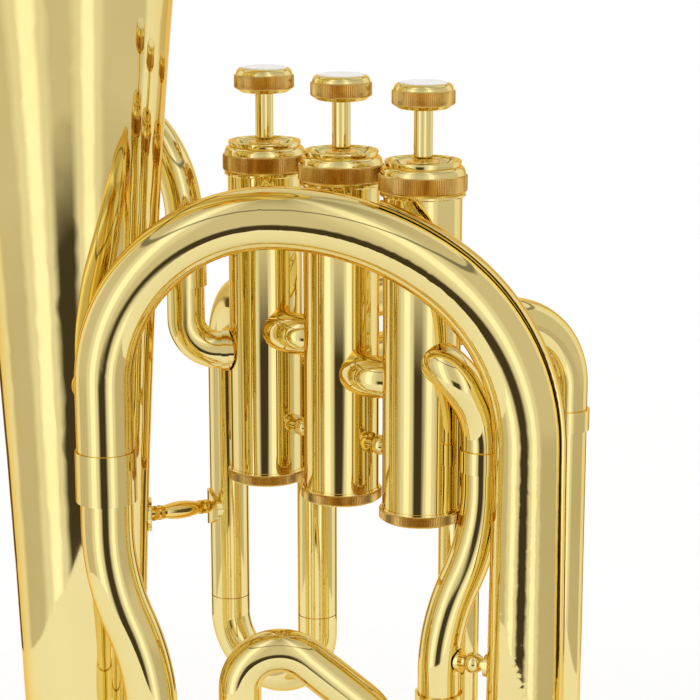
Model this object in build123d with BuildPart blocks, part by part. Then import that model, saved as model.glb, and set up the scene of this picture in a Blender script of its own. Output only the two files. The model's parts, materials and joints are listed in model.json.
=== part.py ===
"""Baritone horn with three piston valves, in millimetres, +Z up.

The origin is the lowest point of the bottom bow. +X runs from the bell to the right leg of the bottom bow.
"""
from build123d import *
from math import atan2, cos, degrees, radians, sin
import os

os.makedirs("parts", exist_ok=True)

# Driving dimensions -------------------------------------------------------------------------------
TOTAL_HEIGHT = 600.0
LEG_SPACING = 149.0
BOW_CENTRE_Z = 90.2

# The arch, the valve tubes and the front tubes lie in planes turned by this angle from the bell-leg plane.
# Points in that turned frame are measured along it (u) and across it (v) from the axis of valve 2.
TURN = 14.0
VALVE_2_U, VALVE_2_V = 14.1, 30.0

BELL_RIM_R = 115.5
BELL_REACH = 87.9
BELL_POWER = 0.95
BELL_WALL = 0.9
RIM_WIRE_R = 2.0

WALL = 0.9
MAIN_R = 6.9
SLIDE_OUTER_R = 7.0
SLIDE_INNER_R = 6.15
SLIDE_CLEARANCE = 0.05
FERRULE_WALL = 0.8
SOLDER_GAP = 0.03

ARCH_START_R, ARCH_END_R = 9.0, 12.1
BOW_SMALL_R, BOW_LARGE_R = 12.4, 18.7
ARCH_SHOULDER_Z = 250.5
ARCH_RADII = (52.0, 87.0, 69.0)
ARCH_TOP_TURN, ARCH_SECOND_TURN = 90.0, 36.0
ARCH_FOOT_Z = 222.0
ARCH_END_Z = 120.0

CASING_R, CASING_BORE_R = 12.5, 10.5
CASING_BOTTOM_Z, CASING_TOP_Z = 204.2, 311.0
PISTON_R = CASING_BORE_R - 0.05
PISTON_BOTTOM_Z, PISTON_TOP_Z = 234.0, 308.0
PASSAGE_R, PASSAGE_WALL = 5.2, 0.8
STROKE = 15.2
STEM_R = 3.0
BUTTON_R, BUTTON_Z, BUTTON_TOP_Z = 10.0, 332.8, 341.0
PEARL_R = 7.5
TOP_CAP_R, CAP_BOSS_R = 14.1, 5.2
CAP_KNURL_Z = (307.0, 312.9)
CAP_RIM_Z, CAP_BOSS_Z = 317.0, 316.6
BOTTOM_CAP_R, BOTTOM_CAP_Z = 13.5, 199.4

VALVES = {1: (-25.75, 23.7), 2: (0.0, 0.0), 3: (25.75, -23.7)}
HIGH_PORT_Z, LOW_PORT_Z = 254.0, 245.0
SLIDE_HIGH_Z, SLIDE_LOW_Z = 261.0, 246.0
SLIDE_3_HIGH_Z = 263.0
SLIDE_2_HIGH_Z = 266.0

ROW_AZ = degrees(atan2(-23.7, 25.75))
BACK_AZ = ROW_AZ + 90.0
OUTLET_AZ = -60.0
INLET_AZ = 180.0

SLIDE_1_LEGS = ((-40.9, 57.5), (-8.8, 36.0))
SLIDE_3_LEGS = ((39.5, -2.0), (74.7, 0.0))
SLIDE_1_SEAM_Z, SLIDE_3_SEAM_Z = 146.0, 120.0
SLIDE_3_ELBOW_Z = 227.0
MAIN_SLIDE_LEGS = ((31.7, -35.0), (11.6, -45.0))
MAIN_SLIDE_SEAM_Z = 100.0


# Frames and shared shapes -------------------------------------------------------------------------
def at(u, v, z=0.0):
    """Row-frame point of a place given in the turned frame."""
    a = radians(TURN)
    along, across = u + VALVE_2_U, v + VALVE_2_V
    return Vector(cos(a) * along - sin(a) * across, sin(a) * along + cos(a) * across, z)


def toward(azimuth, rise=0.0):
    """Unit direction from its azimuth in the turned frame and its rise above the horizontal."""
    a, b = radians(azimuth + TURN), radians(rise)
    return Vector(cos(a) * cos(b), sin(a) * cos(b), sin(b))


def azimuth_between(start, end):
    return degrees(atan2(end[1] - start[1], end[0] - start[0]))


def polar(start, azimuth, reach):
    """Turned-frame point at a reach and azimuth from another."""
    return (start[0] + reach * cos(radians(azimuth)), start[1] + reach * sin(radians(azimuth)))


BELL_AXIS = Vector(-LEG_SPACING / 2, 0, 0)
RIGHT_AXIS = Vector(LEG_SPACING / 2, 0, 0)


def bell_radius(z):
    """Outer radius of the bell: a Bessel-type flare."""
    throat = TOTAL_HEIGHT + BELL_REACH - z
    return BELL_RIM_R * (BELL_REACH / throat) ** BELL_POWER


def upright(centre, z):
    """Horizontal plane at a height, centred on a row-frame point."""
    return Plane(origin=(centre.X, centre.Y, z))


def save(piece, name):
    piece.part.label = name
    export_step(piece.part, f"parts/{name}.step")


def disc(plane, radius, height, mode=Mode.ADD):
    with BuildSketch(plane) as profile:
        Circle(radius)
    extrude(profile.sketch, amount=height, mode=mode)


def ring(plane, outer, inner, height, mode=Mode.ADD):
    with BuildSketch(plane) as profile:
        Circle(outer)
        Circle(inner, mode=Mode.SUBTRACT)
    extrude(profile.sketch, amount=height, mode=mode)


def cut_post(centre, radius, low, high):
    """Removes an upright cylinder, which leaves a saddle face on a tube that meets it."""
    disc(upright(centre, low), radius, high - low, Mode.SUBTRACT)


def sweep_tube(route, outer, inner):
    with BuildSketch(Plane(origin=route @ 0, z_dir=route % 0)) as profile:
        Circle(outer)
        Circle(inner, mode=Mode.SUBTRACT)
    sweep(profile.sketch, path=route)


def sweep_cone(route, start_r, end_r, mode=Mode.ADD):
    with BuildSketch(Plane(origin=route @ 0, z_dir=route % 0)) as start:
        Circle(start_r)
    with BuildSketch(Plane(origin=route @ 1, z_dir=route % 1)) as end:
        Circle(end_r)
    sweep([start.sketch, end.sketch], path=route, multisection=True, mode=mode)


def bent_route(points, radii):
    with BuildLine() as route:
        FilletPolyline(*points, radius=radii)
    return route.wire()


def straight_route(start, end):
    with BuildLine() as route:
        Line(start, end)
    return route.wire()


def casing_axis(number):
    return at(*VALVES[number])


# Bell ---------------------------------------------------------------------------------------------
BELL_FOOT_Z = BOW_CENTRE_Z + 8
BELL_STATIONS = [BELL_FOOT_Z, 160, 240, 320, 390, 450, 500, 540, 565, 582, 592, TOTAL_HEIGHT - RIM_WIRE_R]
BELL_PLANE = Plane(origin=BELL_AXIS, x_dir=(1, 0, 0), z_dir=(0, -1, 0))

with BuildPart() as bell:
    with BuildSketch(BELL_PLANE):
        with BuildLine():
            outside = Spline(*[(bell_radius(z), z) for z in BELL_STATIONS])
            inside = Spline(*[(bell_radius(z) - BELL_WALL, z) for z in BELL_STATIONS])
            Line(outside @ 0, inside @ 0)
            Line(outside @ 1, inside @ 1)
        make_face()
    revolve(axis=Axis(BELL_AXIS, (0, 0, 1)))
    with Locations(upright(BELL_AXIS, TOTAL_HEIGHT - RIM_WIRE_R)):
        Torus(BELL_RIM_R - RIM_WIRE_R, RIM_WIRE_R + SOLDER_GAP, mode=Mode.SUBTRACT)
save(bell, "bell")

with BuildPart() as bell_rim_wire:
    with Locations(upright(BELL_AXIS, TOTAL_HEIGHT - RIM_WIRE_R)):
        Torus(BELL_RIM_R - RIM_WIRE_R, RIM_WIRE_R)
save(bell_rim_wire, "bell_rim_wire")


def cut_bell(highest=540):
    """Removes the bell's filled outer shape, so that a foot sits on its skin."""
    stations = [z for z in BELL_STATIONS if z <= highest]
    with BuildSketch(BELL_PLANE) as profile:
        with BuildLine():
            skin = Spline(*[(bell_radius(z) + SOLDER_GAP, z) for z in stations])
            Line(skin @ 0, (0, stations[0]))
            Line((0, stations[0]), (0, stations[-1]))
            Line((0, stations[-1]), skin @ 1)
        make_face()
    revolve(profile.sketch, axis=Axis(BELL_AXIS, (0, 0, 1)), mode=Mode.SUBTRACT)


# Bottom bow and its ferrules ----------------------------------------------------------------------
LEG_PLANE = Plane(origin=(0, 0, 0), x_dir=(1, 0, 0), z_dir=(0, -1, 0))
BOW_JOINT_GAP = 0.3
BOW_RIGHT_TOP_Z = ARCH_END_Z - BOW_JOINT_GAP
BOW_SMALL_END_R = BOW_SMALL_R - 0.2
FERRULE_LENGTH = 16.0

with BuildLine(LEG_PLANE) as bow_line:
    drop = Line((LEG_SPACING / 2, BOW_RIGHT_TOP_Z), (LEG_SPACING / 2, BOW_CENTRE_Z))
    turn = JernArc(drop @ 1, (0, -1), LEG_SPACING / 2, -180)
    Line(turn @ 1, (-LEG_SPACING / 2, BELL_FOOT_Z - BOW_JOINT_GAP))

with BuildPart() as bottom_bow:
    sweep_cone(bow_line.wire(), BOW_SMALL_END_R, BOW_LARGE_R)
    sweep_cone(bow_line.wire(), BOW_SMALL_END_R - WALL, BOW_LARGE_R - WALL, Mode.SUBTRACT)
save(bottom_bow, "bottom_bow")

with BuildPart() as bottom_bow_ferrules:
    half = FERRULE_LENGTH / 2
    foot_r = bell_radius(BELL_FOOT_Z + half) + SOLDER_GAP
    leg_r = BOW_SMALL_R
    ring(upright(BELL_AXIS, BELL_FOOT_Z - half), foot_r + FERRULE_WALL, foot_r, FERRULE_LENGTH)
    ring(upright(RIGHT_AXIS, ARCH_END_Z - half), leg_r + FERRULE_WALL, leg_r, FERRULE_LENGTH)
save(bottom_bow_ferrules, "bottom_bow_ferrules")

# Main arch, its guard plate and the left branch ---------------------------------------------------
ARCH_WIDTH = (
    ARCH_RADII[0]
    + ARCH_RADII[1] * sin(radians(ARCH_SECOND_TURN))
    + ARCH_RADII[2] * (1 - sin(radians(ARCH_SECOND_TURN)))
)
RIGHT_U = (RIGHT_AXIS.X * cos(radians(TURN))) - VALVE_2_U
RIGHT_V = (-RIGHT_AXIS.X * sin(radians(TURN))) - VALVE_2_V
LEFT_U = RIGHT_U - ARCH_WIDTH
ARCH_PLANE = Plane(origin=at(0, RIGHT_V), x_dir=toward(0), z_dir=toward(-90))

with BuildLine(ARCH_PLANE) as arch_line:
    rise = Line((LEFT_U, ARCH_FOOT_Z), (LEFT_U, ARCH_SHOULDER_Z))
    first = JernArc(rise @ 1, (0, 1), ARCH_RADII[0], -ARCH_TOP_TURN)
    second = JernArc(first @ 1, first % 1, ARCH_RADII[1], -ARCH_SECOND_TURN)
    third = JernArc(second @ 1, second % 1, ARCH_RADII[2], ARCH_SECOND_TURN - 90)
    fall = Line(third @ 1, (RIGHT_U, ARCH_END_Z))

with BuildPart() as arch_branch:
    sweep_cone(arch_line.wire(), ARCH_START_R, ARCH_END_R)
    sweep_cone(arch_line.wire(), ARCH_START_R - WALL, ARCH_END_R - WALL, Mode.SUBTRACT)
save(arch_branch, "arch_branch")


ARCH_LENGTH = arch_line.wire().length
GUARD_START, GUARD_END_Z = 20.0, 134.0
GUARD_THICKNESS = 1.1
GUARD_START_HALF, GUARD_END_HALF = 20.0, 34.0


def arch_radius(length):
    """Outer radius of the arch's taper at a length from its left foot."""
    return ARCH_START_R + (ARCH_END_R - ARCH_START_R) * length / ARCH_LENGTH


def shell_sector(route, end, inner, half_angle):
    """Slice of a sheath round the outside of the arch."""
    heading = route % end
    outward = heading.cross(toward(90))
    with BuildSketch(Plane(origin=route @ end, x_dir=outward, z_dir=heading)) as sector:
        with BuildLine():
            far = CenterArc((0, 0), inner + GUARD_THICKNESS, -half_angle, 2 * half_angle)
            near = CenterArc((0, 0), inner, -half_angle, 2 * half_angle)
            Line(far @ 0, near @ 0)
            Line(far @ 1, near @ 1)
        make_face()
    return sector.sketch


with BuildLine(ARCH_PLANE) as guard_line:
    share = GUARD_START / ARCH_SECOND_TURN
    JernArc(second @ share, second % share, ARCH_RADII[1], GUARD_START - ARCH_SECOND_TURN)
    lower = JernArc(third @ 0, third % 0, ARCH_RADII[2], ARCH_SECOND_TURN - 90)
    Line(lower @ 1, (RIGHT_U, GUARD_END_Z))

with BuildPart() as arch_guard_plate:
    end_length = ARCH_LENGTH - (GUARD_END_Z - ARCH_END_Z)
    start_length = end_length - guard_line.wire().length
    guard_route = guard_line.wire()
    sections = [
        shell_sector(guard_route, 0, arch_radius(start_length) + SOLDER_GAP, GUARD_START_HALF),
        shell_sector(guard_route, 1, arch_radius(end_length) + SOLDER_GAP, GUARD_END_HALF),
    ]
    sweep(sections, path=guard_route, multisection=True)
save(arch_guard_plate, "arch_guard_plate")


# Tubes of the wind way ----------------------------------------------------------------------------
def casing_cuts(*numbers):
    """Saddle cuts for tubes soldered to the given casings."""
    return [(casing_axis(n), CASING_R, CASING_BOTTOM_Z, CASING_TOP_Z) for n in numbers]


def tube(name, routes, outer, inner, cuts=()):
    """One node of one or more tubes, cut to saddles where they meet the casings."""
    with BuildPart() as piece:
        for route in routes:
            sweep_tube(route, outer, inner)
        for cut in cuts:
            cut_post(*cut)
    save(piece, name)


def ferrules(name, places):
    """Rings over soldered joints: each place is a plane at the ring's middle, its length and its bore."""
    with BuildPart() as piece:
        for plane, length, bore in places:
            ring(plane.offset(-length / 2), bore + FERRULE_WALL, bore, length)
    save(piece, name)


def port_start(number, azimuth, z):
    """Start of a port tube, inside the casing's wall so that the saddle cut is complete."""
    return at(*polar(VALVES[number], azimuth, CASING_R / 2), z)


BEND_STEP = 0.3

# Left branch, from the arch's foot down to the return bow
LEFT_R = 8.3
LEFT_FOOT_U = -60.5
LEFT_BRANCH_TOP_Z, LEFT_BRANCH_END_Z = ARCH_FOOT_Z - BEND_STEP, 136.0
LEFT_BENDS_Z = (188.2, 156.8)
LEFT_BEND_R = 84.0

left_route = bent_route(
    (
        at(LEFT_U, RIGHT_V, LEFT_BRANCH_TOP_Z),
        at(LEFT_U, RIGHT_V, LEFT_BENDS_Z[0]),
        at(LEFT_FOOT_U, RIGHT_V, LEFT_BENDS_Z[1]),
        at(LEFT_FOOT_U, RIGHT_V, LEFT_BRANCH_END_Z),
    ),
    LEFT_BEND_R,
)
tube("left_branch", [left_route], LEFT_R, LEFT_R - WALL)
LEFT_FERRULE_R = LEFT_R + 1.3
LEFT_FERRULE_FOOT_Z, LEFT_FERRULE_STEP_Z, LEFT_FERRULE_TOP_Z = ARCH_FOOT_Z - 9, ARCH_FOOT_Z - BEND_STEP, 229.2
with BuildPart() as left_ferrule:
    left_leg = at(LEFT_U, RIGHT_V)
    lower = upright(left_leg, LEFT_FERRULE_FOOT_Z)
    upper = upright(left_leg, LEFT_FERRULE_STEP_Z)
    ring(lower, LEFT_FERRULE_R, LEFT_R + SOLDER_GAP, LEFT_FERRULE_STEP_Z - LEFT_FERRULE_FOOT_Z)
    ring(upper, LEFT_FERRULE_R, ARCH_START_R + 0.1, LEFT_FERRULE_TOP_Z - LEFT_FERRULE_STEP_Z)
save(left_ferrule, "left_ferrule")

# Loop crook over the front and its return bow to the left branch
LOOP_V = -45.0
LOOP_LEFT_U, LOOP_CENTRE_Z, LOOP_R = -32.5, 149.0, 13.0
LOOP_FALL, LOOP_RUN, LOOP_SECOND_R = 40.0, 23.1, 14.0
LOOP_FOOT_Z, LOOP_END_Z = 118.0, 112.0
LOOP_PLANE = Plane(origin=at(0, LOOP_V), x_dir=toward(0), z_dir=toward(-90))

with BuildLine(LOOP_PLANE) as loop_line:
    up = Line((LOOP_LEFT_U, LOOP_FOOT_Z), (LOOP_LEFT_U, LOOP_CENTRE_Z))
    over = JernArc(up @ 1, up % 1, LOOP_R, -90 - LOOP_FALL)
    slope = Line(over @ 1, (over @ 1) + (over % 1) * LOOP_RUN)
    down = JernArc(slope @ 1, slope % 1, LOOP_SECOND_R, LOOP_FALL - 90)
    Line(down @ 1, (down @ 1) + Vector(0, 0, LOOP_END_Z - (down @ 1).Z))
loop_route = loop_line.wire()
tube("loop_crook", [loop_route], MAIN_R, MAIN_R - WALL)

RETURN_BOW_Z = 92.0
return_left, return_right = at(LEFT_FOOT_U, RIGHT_V), loop_route @ 0
return_span = Vector(return_right.X - return_left.X, return_right.Y - return_left.Y, 0)
RETURN_PLANE = Plane(origin=return_left, x_dir=return_span, z_dir=return_span.cross(Vector(0, 0, 1)))
with BuildLine(RETURN_PLANE) as return_line:
    fall = Line((0, LEFT_BRANCH_END_Z - BEND_STEP), (0, RETURN_BOW_Z))
    around = JernArc(fall @ 1, fall % 1, return_span.length / 2, 180)
    Line(around @ 1, (return_span.length, LOOP_FOOT_Z - BEND_STEP))
with BuildPart() as return_bow:
    sweep_cone(return_line.wire(), LEFT_R, MAIN_R)
    sweep_cone(return_line.wire(), LEFT_R - WALL, MAIN_R - WALL, Mode.SUBTRACT)
save(return_bow, "return_bow")
ferrules(
    "return_bow_ferrules",
    [
        (upright(return_left, LEFT_BRANCH_END_Z), 12, LEFT_R + SOLDER_GAP),
        (upright(return_right, LOOP_FOOT_Z), 12, MAIN_R + 0.2),
    ],
)

# Outlet of valve 3 and the right branch down to the main tuning slide
OUTLET_END_Z, OUTLET_LOW_BEND_Z = 222.0, 236.0
OUTLET_REACH = 17.2
outlet = (45.3, -33.0)
outlet_bulge = polar(VALVES[3], OUTLET_AZ, OUTLET_REACH)
outlet_route = bent_route(
    (
        port_start(3, OUTLET_AZ, HIGH_PORT_Z),
        at(*outlet_bulge, HIGH_PORT_Z),
        at(*outlet, OUTLET_LOW_BEND_Z),
        at(*outlet, OUTLET_END_Z),
    ),
    [9.0, 28.0],
)
tube("outlet_elbow", [outlet_route], MAIN_R, MAIN_R - WALL, casing_cuts(3))
ferrules("outlet_ferrule", [(upright(at(*outlet), OUTLET_END_Z), 7, MAIN_R + SOLDER_GAP)])

RIGHT_BENDS_Z = (196.4, 167.6)
RIGHT_BEND_R = 75.0
RIGHT_BRANCH_END_Z = 138.0
right_route = bent_route(
    (
        at(*outlet, OUTLET_END_Z - BEND_STEP),
        at(*outlet, RIGHT_BENDS_Z[0]),
        at(*MAIN_SLIDE_LEGS[0], RIGHT_BENDS_Z[1]),
        at(*MAIN_SLIDE_LEGS[0], RIGHT_BRANCH_END_Z),
    ),
    RIGHT_BEND_R,
)
tube("right_branch", [right_route], MAIN_R, MAIN_R - WALL)

# Main tuning slide
MAIN_LEG_A, MAIN_LEG_B = at(*MAIN_SLIDE_LEGS[0]), loop_route @ 1
MAIN_SLEEVE_WALL = 0.8
MAIN_SLEEVE_BORE = MAIN_R + SLIDE_CLEARANCE
MAIN_TOP_A_Z, MAIN_TOP_B_Z = RIGHT_BRANCH_END_Z + 6, LOOP_END_Z + 6
MAIN_BOW_Z = 97.0
MAIN_GRIP = 6.0
SEAM_STEP = 0.3


def upright_routes(spans):
    """Straight upright routes, each from a row-frame point, its foot and its top."""
    return [straight_route(upright(c, low).origin, upright(c, high).origin) for c, low, high in spans]


def slide(name, bow, legs, outer, inner, leg_wall=0.7):
    """Moving slide: a bow whose ends hold the two inner legs."""
    with BuildPart() as piece:
        sweep_tube(bow, outer, inner + SLIDE_CLEARANCE)
        for leg in legs:
            sweep_tube(leg, inner, inner - leg_wall)
    save(piece, name)


MAIN_SLEEVE_R = MAIN_SLEEVE_BORE + MAIN_SLEEVE_WALL
main_sleeves = [(MAIN_LEG_A, MAIN_SLIDE_SEAM_Z, MAIN_TOP_A_Z), (MAIN_LEG_B, MAIN_SLIDE_SEAM_Z, MAIN_TOP_B_Z)]
tube("main_slide_outer_tubes", upright_routes(main_sleeves), MAIN_SLEEVE_R, MAIN_SLEEVE_BORE)


def u_bow_route(leg_a, leg_b, top_z, centre_z):
    """Legs down from top_z joined by a half turn below."""
    span = Vector(leg_b.X - leg_a.X, leg_b.Y - leg_a.Y, 0)
    plane = Plane(origin=(leg_a.X, leg_a.Y, 0), x_dir=span, z_dir=span.cross(Vector(0, 0, 1)))
    with BuildLine(plane) as bow:
        first_leg = Line((0, top_z), (0, centre_z))
        turn = JernArc(first_leg @ 1, first_leg % 1, span.length / 2, 180)
        Line(turn @ 1, (span.length, top_z))
    return bow.wire()


main_bow_route = u_bow_route(MAIN_LEG_A, MAIN_LEG_B, MAIN_SLIDE_SEAM_Z - SEAM_STEP, MAIN_BOW_Z)
main_legs = upright_routes(
    [
        (MAIN_LEG_A, MAIN_SLIDE_SEAM_Z - MAIN_GRIP, RIGHT_BRANCH_END_Z - 1),
        (MAIN_LEG_B, MAIN_SLIDE_SEAM_Z - MAIN_GRIP, LOOP_END_Z - 1),
    ]
)
slide("main_tuning_slide", main_bow_route, main_legs, MAIN_SLEEVE_R, MAIN_R)

# First valve slide
SLIDE_1_LONG_R, SLIDE_1_SHORT_R = 22.0, 8.5
T1, T2 = at(*SLIDE_1_LEGS[0]), at(*SLIDE_1_LEGS[1])
az_1a = azimuth_between(VALVES[1], SLIDE_1_LEGS[0])
az_1b = azimuth_between(VALVES[1], SLIDE_1_LEGS[1])


def drop_route(number, azimuth, high_z, leg, low_z, bend_r):
    """From a casing's port, level to above the leg, and down it."""
    start = port_start(number, azimuth, high_z)
    return bent_route((start, upright(leg, high_z).origin, upright(leg, low_z).origin), bend_r)


slide_1_long = drop_route(1, az_1a, SLIDE_HIGH_Z, T1, SLIDE_1_SEAM_Z, SLIDE_1_LONG_R)
slide_1_short = drop_route(1, az_1b, SLIDE_LOW_Z, T2, SLIDE_1_SEAM_Z, SLIDE_1_SHORT_R)
SLIDE_BORE = SLIDE_INNER_R + SLIDE_CLEARANCE
SLIDE_GRIP = 5.0
SLIDE_1_LEG_TOP_Z = 230.0
SLIDE_1_BOW_Z = SLIDE_1_SEAM_Z - 7
tube("slide_1_outer_tubes", [slide_1_long, slide_1_short], SLIDE_OUTER_R, SLIDE_BORE, casing_cuts(1))
slide(
    "valve_slide_1",
    u_bow_route(T1, T2, SLIDE_1_SEAM_Z - SEAM_STEP, SLIDE_1_BOW_Z),
    upright_routes([(leg, SLIDE_1_SEAM_Z - SLIDE_GRIP, SLIDE_1_LEG_TOP_Z) for leg in (T1, T2)]),
    SLIDE_OUTER_R,
    SLIDE_INNER_R,
)

# Second valve slide, straight out behind valve 2
SLIDE_2_SEAM, SLIDE_2_BEND = 36.0, 40.0


def level_route(azimuth, start, end, z):
    centre = VALVES[2]
    return straight_route(at(*polar(centre, azimuth, start), z), at(*polar(centre, azimuth, end), z))


SLIDE_2_HEIGHTS = (SLIDE_LOW_Z, SLIDE_2_HIGH_Z)
tube(
    "slide_2_outer_tubes",
    [level_route(BACK_AZ, CASING_R / 2, SLIDE_2_SEAM, z) for z in SLIDE_2_HEIGHTS],
    SLIDE_OUTER_R,
    SLIDE_BORE,
    casing_cuts(2),
)
SLIDE_2_PLANE = Plane(origin=at(0, 0), x_dir=toward(BACK_AZ), z_dir=toward(BACK_AZ - 90))
with BuildLine(SLIDE_2_PLANE) as slide_2_line:
    low_leg = Line((SLIDE_2_SEAM + SEAM_STEP, SLIDE_LOW_Z), (SLIDE_2_BEND, SLIDE_LOW_Z))
    turn = JernArc(low_leg @ 1, low_leg % 1, (SLIDE_2_HIGH_Z - SLIDE_LOW_Z) / 2, 180)
    Line(turn @ 1, (SLIDE_2_SEAM + SEAM_STEP, SLIDE_2_HIGH_Z))
slide_2_legs = [level_route(BACK_AZ, CASING_R + 1.5, SLIDE_2_SEAM + 3.5, z) for z in SLIDE_2_HEIGHTS]
slide("valve_slide_2", slide_2_line.wire(), slide_2_legs, SLIDE_OUTER_R, SLIDE_INNER_R)

# Third valve slide
T3, T4 = at(*SLIDE_3_LEGS[0]), at(*SLIDE_3_LEGS[1])
az_3a = azimuth_between(VALVES[3], SLIDE_3_LEGS[0])
az_3b = azimuth_between(VALVES[3], SLIDE_3_LEGS[1])
SLIDE_3_NEAR_R, SLIDE_3_FAR_R = 13.0, 24.0
slide_3_near = drop_route(3, az_3a, SLIDE_LOW_Z, T3, SLIDE_3_ELBOW_Z, SLIDE_3_NEAR_R)
slide_3_far = drop_route(3, az_3b, SLIDE_3_HIGH_Z, T4, SLIDE_3_ELBOW_Z, SLIDE_3_FAR_R)
tube("slide_3_elbows", [slide_3_near, slide_3_far], SLIDE_OUTER_R, SLIDE_BORE, casing_cuts(3))
SHORT_FERRULE = 7.0
slide_3_rings = [(upright(leg, SLIDE_3_ELBOW_Z), SHORT_FERRULE, SLIDE_OUTER_R + SOLDER_GAP) for leg in (T3, T4)]
ferrules("slide_3_ferrules", slide_3_rings)
SLIDE_3_BOW_Z = SLIDE_3_SEAM_Z - 8
tube(
    "slide_3_outer_tubes",
    upright_routes([(leg, SLIDE_3_SEAM_Z, SLIDE_3_ELBOW_Z - BEND_STEP) for leg in (T3, T4)]),
    SLIDE_OUTER_R,
    SLIDE_BORE,
)
slide(
    "valve_slide_3",
    u_bow_route(T3, T4, SLIDE_3_SEAM_Z - SEAM_STEP, SLIDE_3_BOW_Z),
    upright_routes([(leg, SLIDE_3_SEAM_Z - SLIDE_GRIP, SLIDE_3_ELBOW_Z - 8) for leg in (T3, T4)]),
    SLIDE_OUTER_R,
    SLIDE_INNER_R,
)

# Knuckles between the casings: each leaves one casing towards the front and bends into the next
KNUCKLE_AZ, KNUCKLE_R, KNUCKLE_OFFSET = -60.0, 8.5, 7.0
KNUCKLE_DEPTH = 5.0


def knuckle_route(first, z):
    start, end = VALVES[first], VALVES[first + 1]
    across = end[1] + KNUCKLE_OFFSET
    corner = polar(start, KNUCKLE_AZ, (across - start[1]) / sin(radians(KNUCKLE_AZ)))
    finish = at(end[0] - KNUCKLE_DEPTH, across, z)
    return bent_route((port_start(first, KNUCKLE_AZ, z), at(*corner, z), finish), KNUCKLE_R)


knuckles = [knuckle_route(1, HIGH_PORT_Z), knuckle_route(2, LOW_PORT_Z)]
tube("valve_knuckles", knuckles, MAIN_R, MAIN_R - WALL, casing_cuts(1, 2, 3))

# Leadpipe, its elbow and the mouthpiece receiver
LEADPIPE = (-53.0, 23.7)
LEADPIPE_SEAM_Z = 272.0
LEADPIPE_R, LEADPIPE_WALL = 6.4, 0.8
LEADPIPE_LEVEL_Z, LEADPIPE_END_Z = 322.0, 330.0
LEADPIPE_TURN = (-88.0, 48.0)
LEADPIPE_END_V, RECEIVER_START_V, RECEIVER_END_V = 94.0, 84.0, 118.0
LEADPIPE_ELBOW_R = 11.0
elbow_points = (port_start(1, INLET_AZ, LOW_PORT_Z), at(*LEADPIPE, LOW_PORT_Z), at(*LEADPIPE, LEADPIPE_SEAM_Z))
elbow_route = bent_route(elbow_points, LEADPIPE_ELBOW_R)
tube("leadpipe_elbow", [elbow_route], LEADPIPE_R, LEADPIPE_R - LEADPIPE_WALL, casing_cuts(1))
leadpipe_route = bent_route(
    (
        at(*LEADPIPE, LEADPIPE_SEAM_Z + BEND_STEP),
        at(*LEADPIPE, LEADPIPE_LEVEL_Z),
        at(*LEADPIPE_TURN, LEADPIPE_END_Z),
        at(LEADPIPE_TURN[0], LEADPIPE_END_V, LEADPIPE_END_Z),
    ),
    [40.0, 18.0],
)
tube("leadpipe", [leadpipe_route], LEADPIPE_R, LEADPIPE_R - LEADPIPE_WALL)
ELBOW_RING_U = -39.5
elbow_ring = Plane(origin=at(ELBOW_RING_U, LEADPIPE[1], LOW_PORT_Z), z_dir=toward(INLET_AZ))
seam_ring = upright(at(*LEADPIPE), LEADPIPE_SEAM_Z)
LEADPIPE_RING_BORE = LEADPIPE_R + SOLDER_GAP
ferrules("leadpipe_ferrules", [(seam_ring, 9, LEADPIPE_RING_BORE), (elbow_ring, 2.4, LEADPIPE_RING_BORE)])
RECEIVER_BORE_R, RECEIVER_BORE_LENGTH = 6.35, 22.0
RECEIVER_R, RECEIVER_RIM_R, RECEIVER_RIM = 7.9, 8.8, 5.0
with BuildPart() as mouthpiece_receiver:
    mouth = at(LEADPIPE_TURN[0], RECEIVER_END_V, LEADPIPE_END_Z)
    back = Plane(origin=mouth, z_dir=toward(-90))
    disc(back, RECEIVER_R, RECEIVER_END_V - RECEIVER_START_V)
    disc(back, RECEIVER_RIM_R, RECEIVER_RIM)
    disc(back, RECEIVER_BORE_R, RECEIVER_BORE_LENGTH, Mode.SUBTRACT)
    disc(back, LEADPIPE_R - LEADPIPE_WALL, RECEIVER_END_V, Mode.SUBTRACT)
    seat = back.offset(RECEIVER_END_V - LEADPIPE_END_V)
    disc(seat, LEADPIPE_R + SOLDER_GAP, LEADPIPE_END_V - RECEIVER_START_V, Mode.SUBTRACT)
save(mouthpiece_receiver, "mouthpiece_receiver")


# Valves -------------------------------------------------------------------------------------------
KEY_AZ = BACK_AZ + 180
PORTS = {
    1: {
        "in": (INLET_AZ, LOW_PORT_Z),
        "out": (KNUCKLE_AZ, HIGH_PORT_Z),
        "slide_in": (az_1b, SLIDE_LOW_Z),
        "slide_out": (az_1a, SLIDE_HIGH_Z),
    },
    2: {
        "in": (ROW_AZ + 180, HIGH_PORT_Z),
        "out": (KNUCKLE_AZ, LOW_PORT_Z),
        "slide_in": (BACK_AZ, SLIDE_2_HIGH_Z),
        "slide_out": (BACK_AZ, SLIDE_LOW_Z),
    },
    3: {
        "in": (ROW_AZ + 180, LOW_PORT_Z),
        "out": (OUTLET_AZ, HIGH_PORT_Z),
        "slide_in": (az_3a, SLIDE_LOW_Z),
        "slide_out": (az_3b, SLIDE_3_HIGH_Z),
    },
}
PLATE = 1.2
SHELL = 1.0
VENT_R = 3.0
KEY_WIDTH, KEY_REACH, KEY_LENGTH, KEY_TOP_Z = 3.0, 11.3, 8.0, 299.0
KEY_FIT, KEY_END_PLAY = 0.05, 0.3
STEM_IN_BUTTON, PUSH_FIT = 3.5, 0.02
LOWER_FELT_R, LOWER_FELT = 9.5, 2.7
UPPER_FELT_R, UPPER_FELT = 6.0, 0.8
FELT_BORE_R = STEM_R + 0.2
BUTTON_EDGE = 1.1
PEARL_SINK, PEARL_HEIGHT, PEARL_ROUND = 1.5, 1.9, 0.8
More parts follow.
